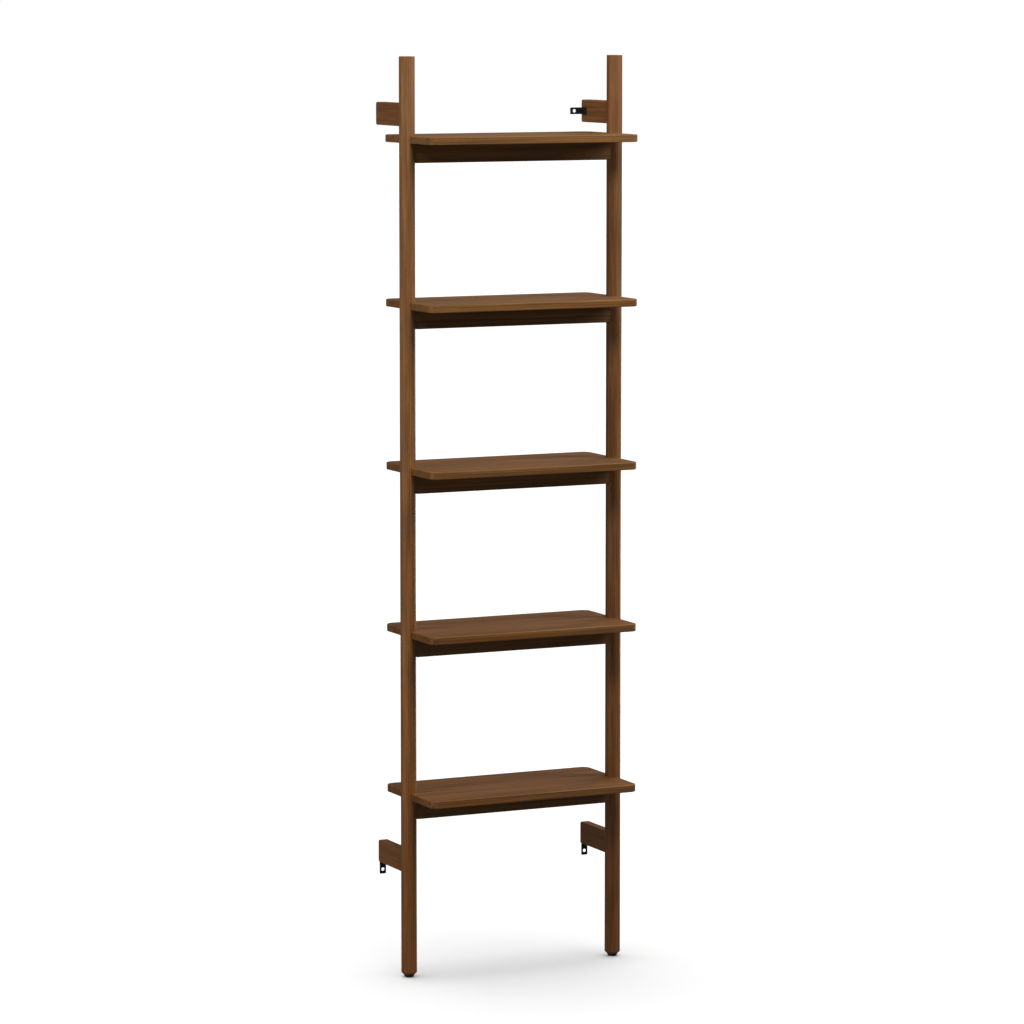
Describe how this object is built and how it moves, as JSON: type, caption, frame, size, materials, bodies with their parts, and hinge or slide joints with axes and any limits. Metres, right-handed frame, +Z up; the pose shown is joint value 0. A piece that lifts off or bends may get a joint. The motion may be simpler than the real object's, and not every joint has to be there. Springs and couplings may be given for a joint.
{
  "type": "ladder shelf",
  "caption": "Tall, narrow wall shelf: notched boards on cross rails between two round posts, with wall arms, angle brackets and levelling feet.",
  "frame": {"origin": "on the floor, midway between the posts and midway through the overall depth", "axes": "+X to the right seen from the front, +Y towards the wall, +Z up"},
  "size_m": [0.589, 0.296, 2.22],
  "materials": {
    "walnut_posts": "satin oiled walnut",
    "walnut_boards": "satin oiled walnut",
    "walnut_rails": "satin oiled walnut",
    "walnut_arms": "satin oiled walnut",
    "black_steel": "satin black powder coat",
    "black_screws": "black oxide",
    "zinc_steel": "zinc plated",
    "beech": "bare fluted beech",
    "black_plastic": "matt black nylon"
  },
  "bodies": {
    "frame": {"left_post": "walnut_posts", "right_post": "walnut_posts", "shelf_1": "walnut_boards", "shelf_2": "walnut_boards", "shelf_3": "walnut_boards", "shelf_4": "walnut_boards", "shelf_5": "walnut_boards", "rail_1": "walnut_rails", "rail_2": "walnut_rails", "rail_3": "walnut_rails", "rail_4": "walnut_rails", "rail_5": "walnut_rails", "upper_left_arm": "walnut_arms", "upper_right_arm": "walnut_arms", "lower_left_arm": "walnut_arms", "lower_right_arm": "walnut_arms", "upper_left_bracket": "black_steel", "upper_right_bracket": "black_steel", "lower_left_bracket": "black_steel", "lower_right_bracket": "black_steel", "bracket_screws": "black_screws", "shelf_screws": "zinc_steel", "rail_dowels": "beech", "cam_studs": "zinc_steel", "cam_discs": "zinc_steel", "arm_dowels": "beech", "foot_inserts": "zinc_steel"},
    "left_pad": {"left_foot_pad": "black_plastic"},
    "left_stem": {"left_foot_stem": "zinc_steel"},
    "right_pad": {"right_foot_pad": "black_plastic"},
    "right_stem": {"right_foot_stem": "zinc_steel"}
  },
  "joints": [
    {"name": "left_foot_slide", "type": "slide", "parent": "frame", "child": "left_pad", "axis": [0, 0, -1], "range_m": [0, 0.01]},
    {"name": "left_foot_turn", "type": "hinge", "parent": "left_pad", "child": "left_stem", "pos_m": [-0.2755, -0.009, 0.007], "axis": [0, 0, -1], "range_deg": [0, 2880]},
    {"name": "right_foot_slide", "type": "slide", "parent": "frame", "child": "right_pad", "axis": [0, 0, -1], "range_m": [0, 0.01]},
    {"name": "right_foot_turn", "type": "hinge", "parent": "right_pad", "child": "right_stem", "pos_m": [0.2755, -0.009, 0.007], "axis": [0, 0, -1], "range_deg": [0, 2880]}
  ],
  "couplings": [
    {"joint": "left_foot_slide", "follows": "left_foot_turn", "m_per_rad": 0.00019894},
    {"joint": "right_foot_slide", "follows": "right_foot_turn", "m_per_rad": 0.00019894}
  ]
}
